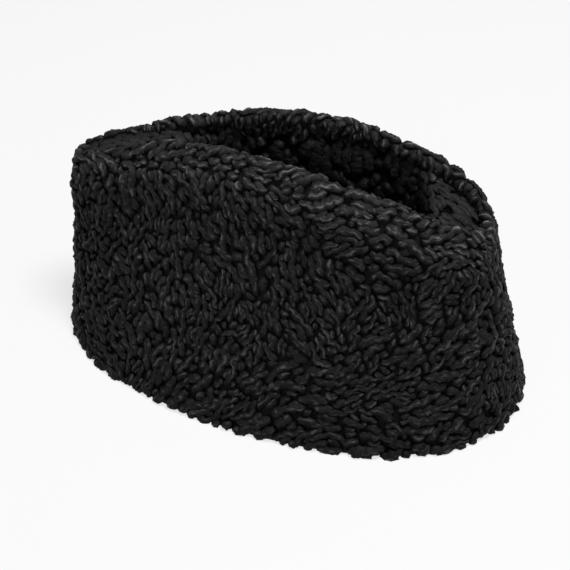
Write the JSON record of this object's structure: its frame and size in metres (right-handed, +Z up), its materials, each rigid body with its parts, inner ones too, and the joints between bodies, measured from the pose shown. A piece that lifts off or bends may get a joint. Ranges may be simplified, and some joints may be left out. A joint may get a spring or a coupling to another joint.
{
  "type": "karakul cap",
  "caption": "Tall oval cap of tightly curled black lambskin with leaning side panels and a boat-shaped crown folded down between their rolled ridges.",
  "frame": {"origin": "centre of the cap's length and width, on the surface that the lower rim stands on", "axes": "+Z up, +X to the front seam, where the ridges are apart, +Y to the wearer's left"},
  "size_m": [0.2358, 0.142, 0.1243],
  "materials": {
    "side_pelt": "black lambskin with tight glossy curls, plain short nap on the back",
    "crown_pelt": "black lambskin with tight curls, in the shade of the fold"
  },
  "bodies": {
    "root": {"right_side_panel": "side_pelt", "left_side_panel": "side_pelt", "crown_fold": "crown_pelt"}
  },
  "joints": []
}
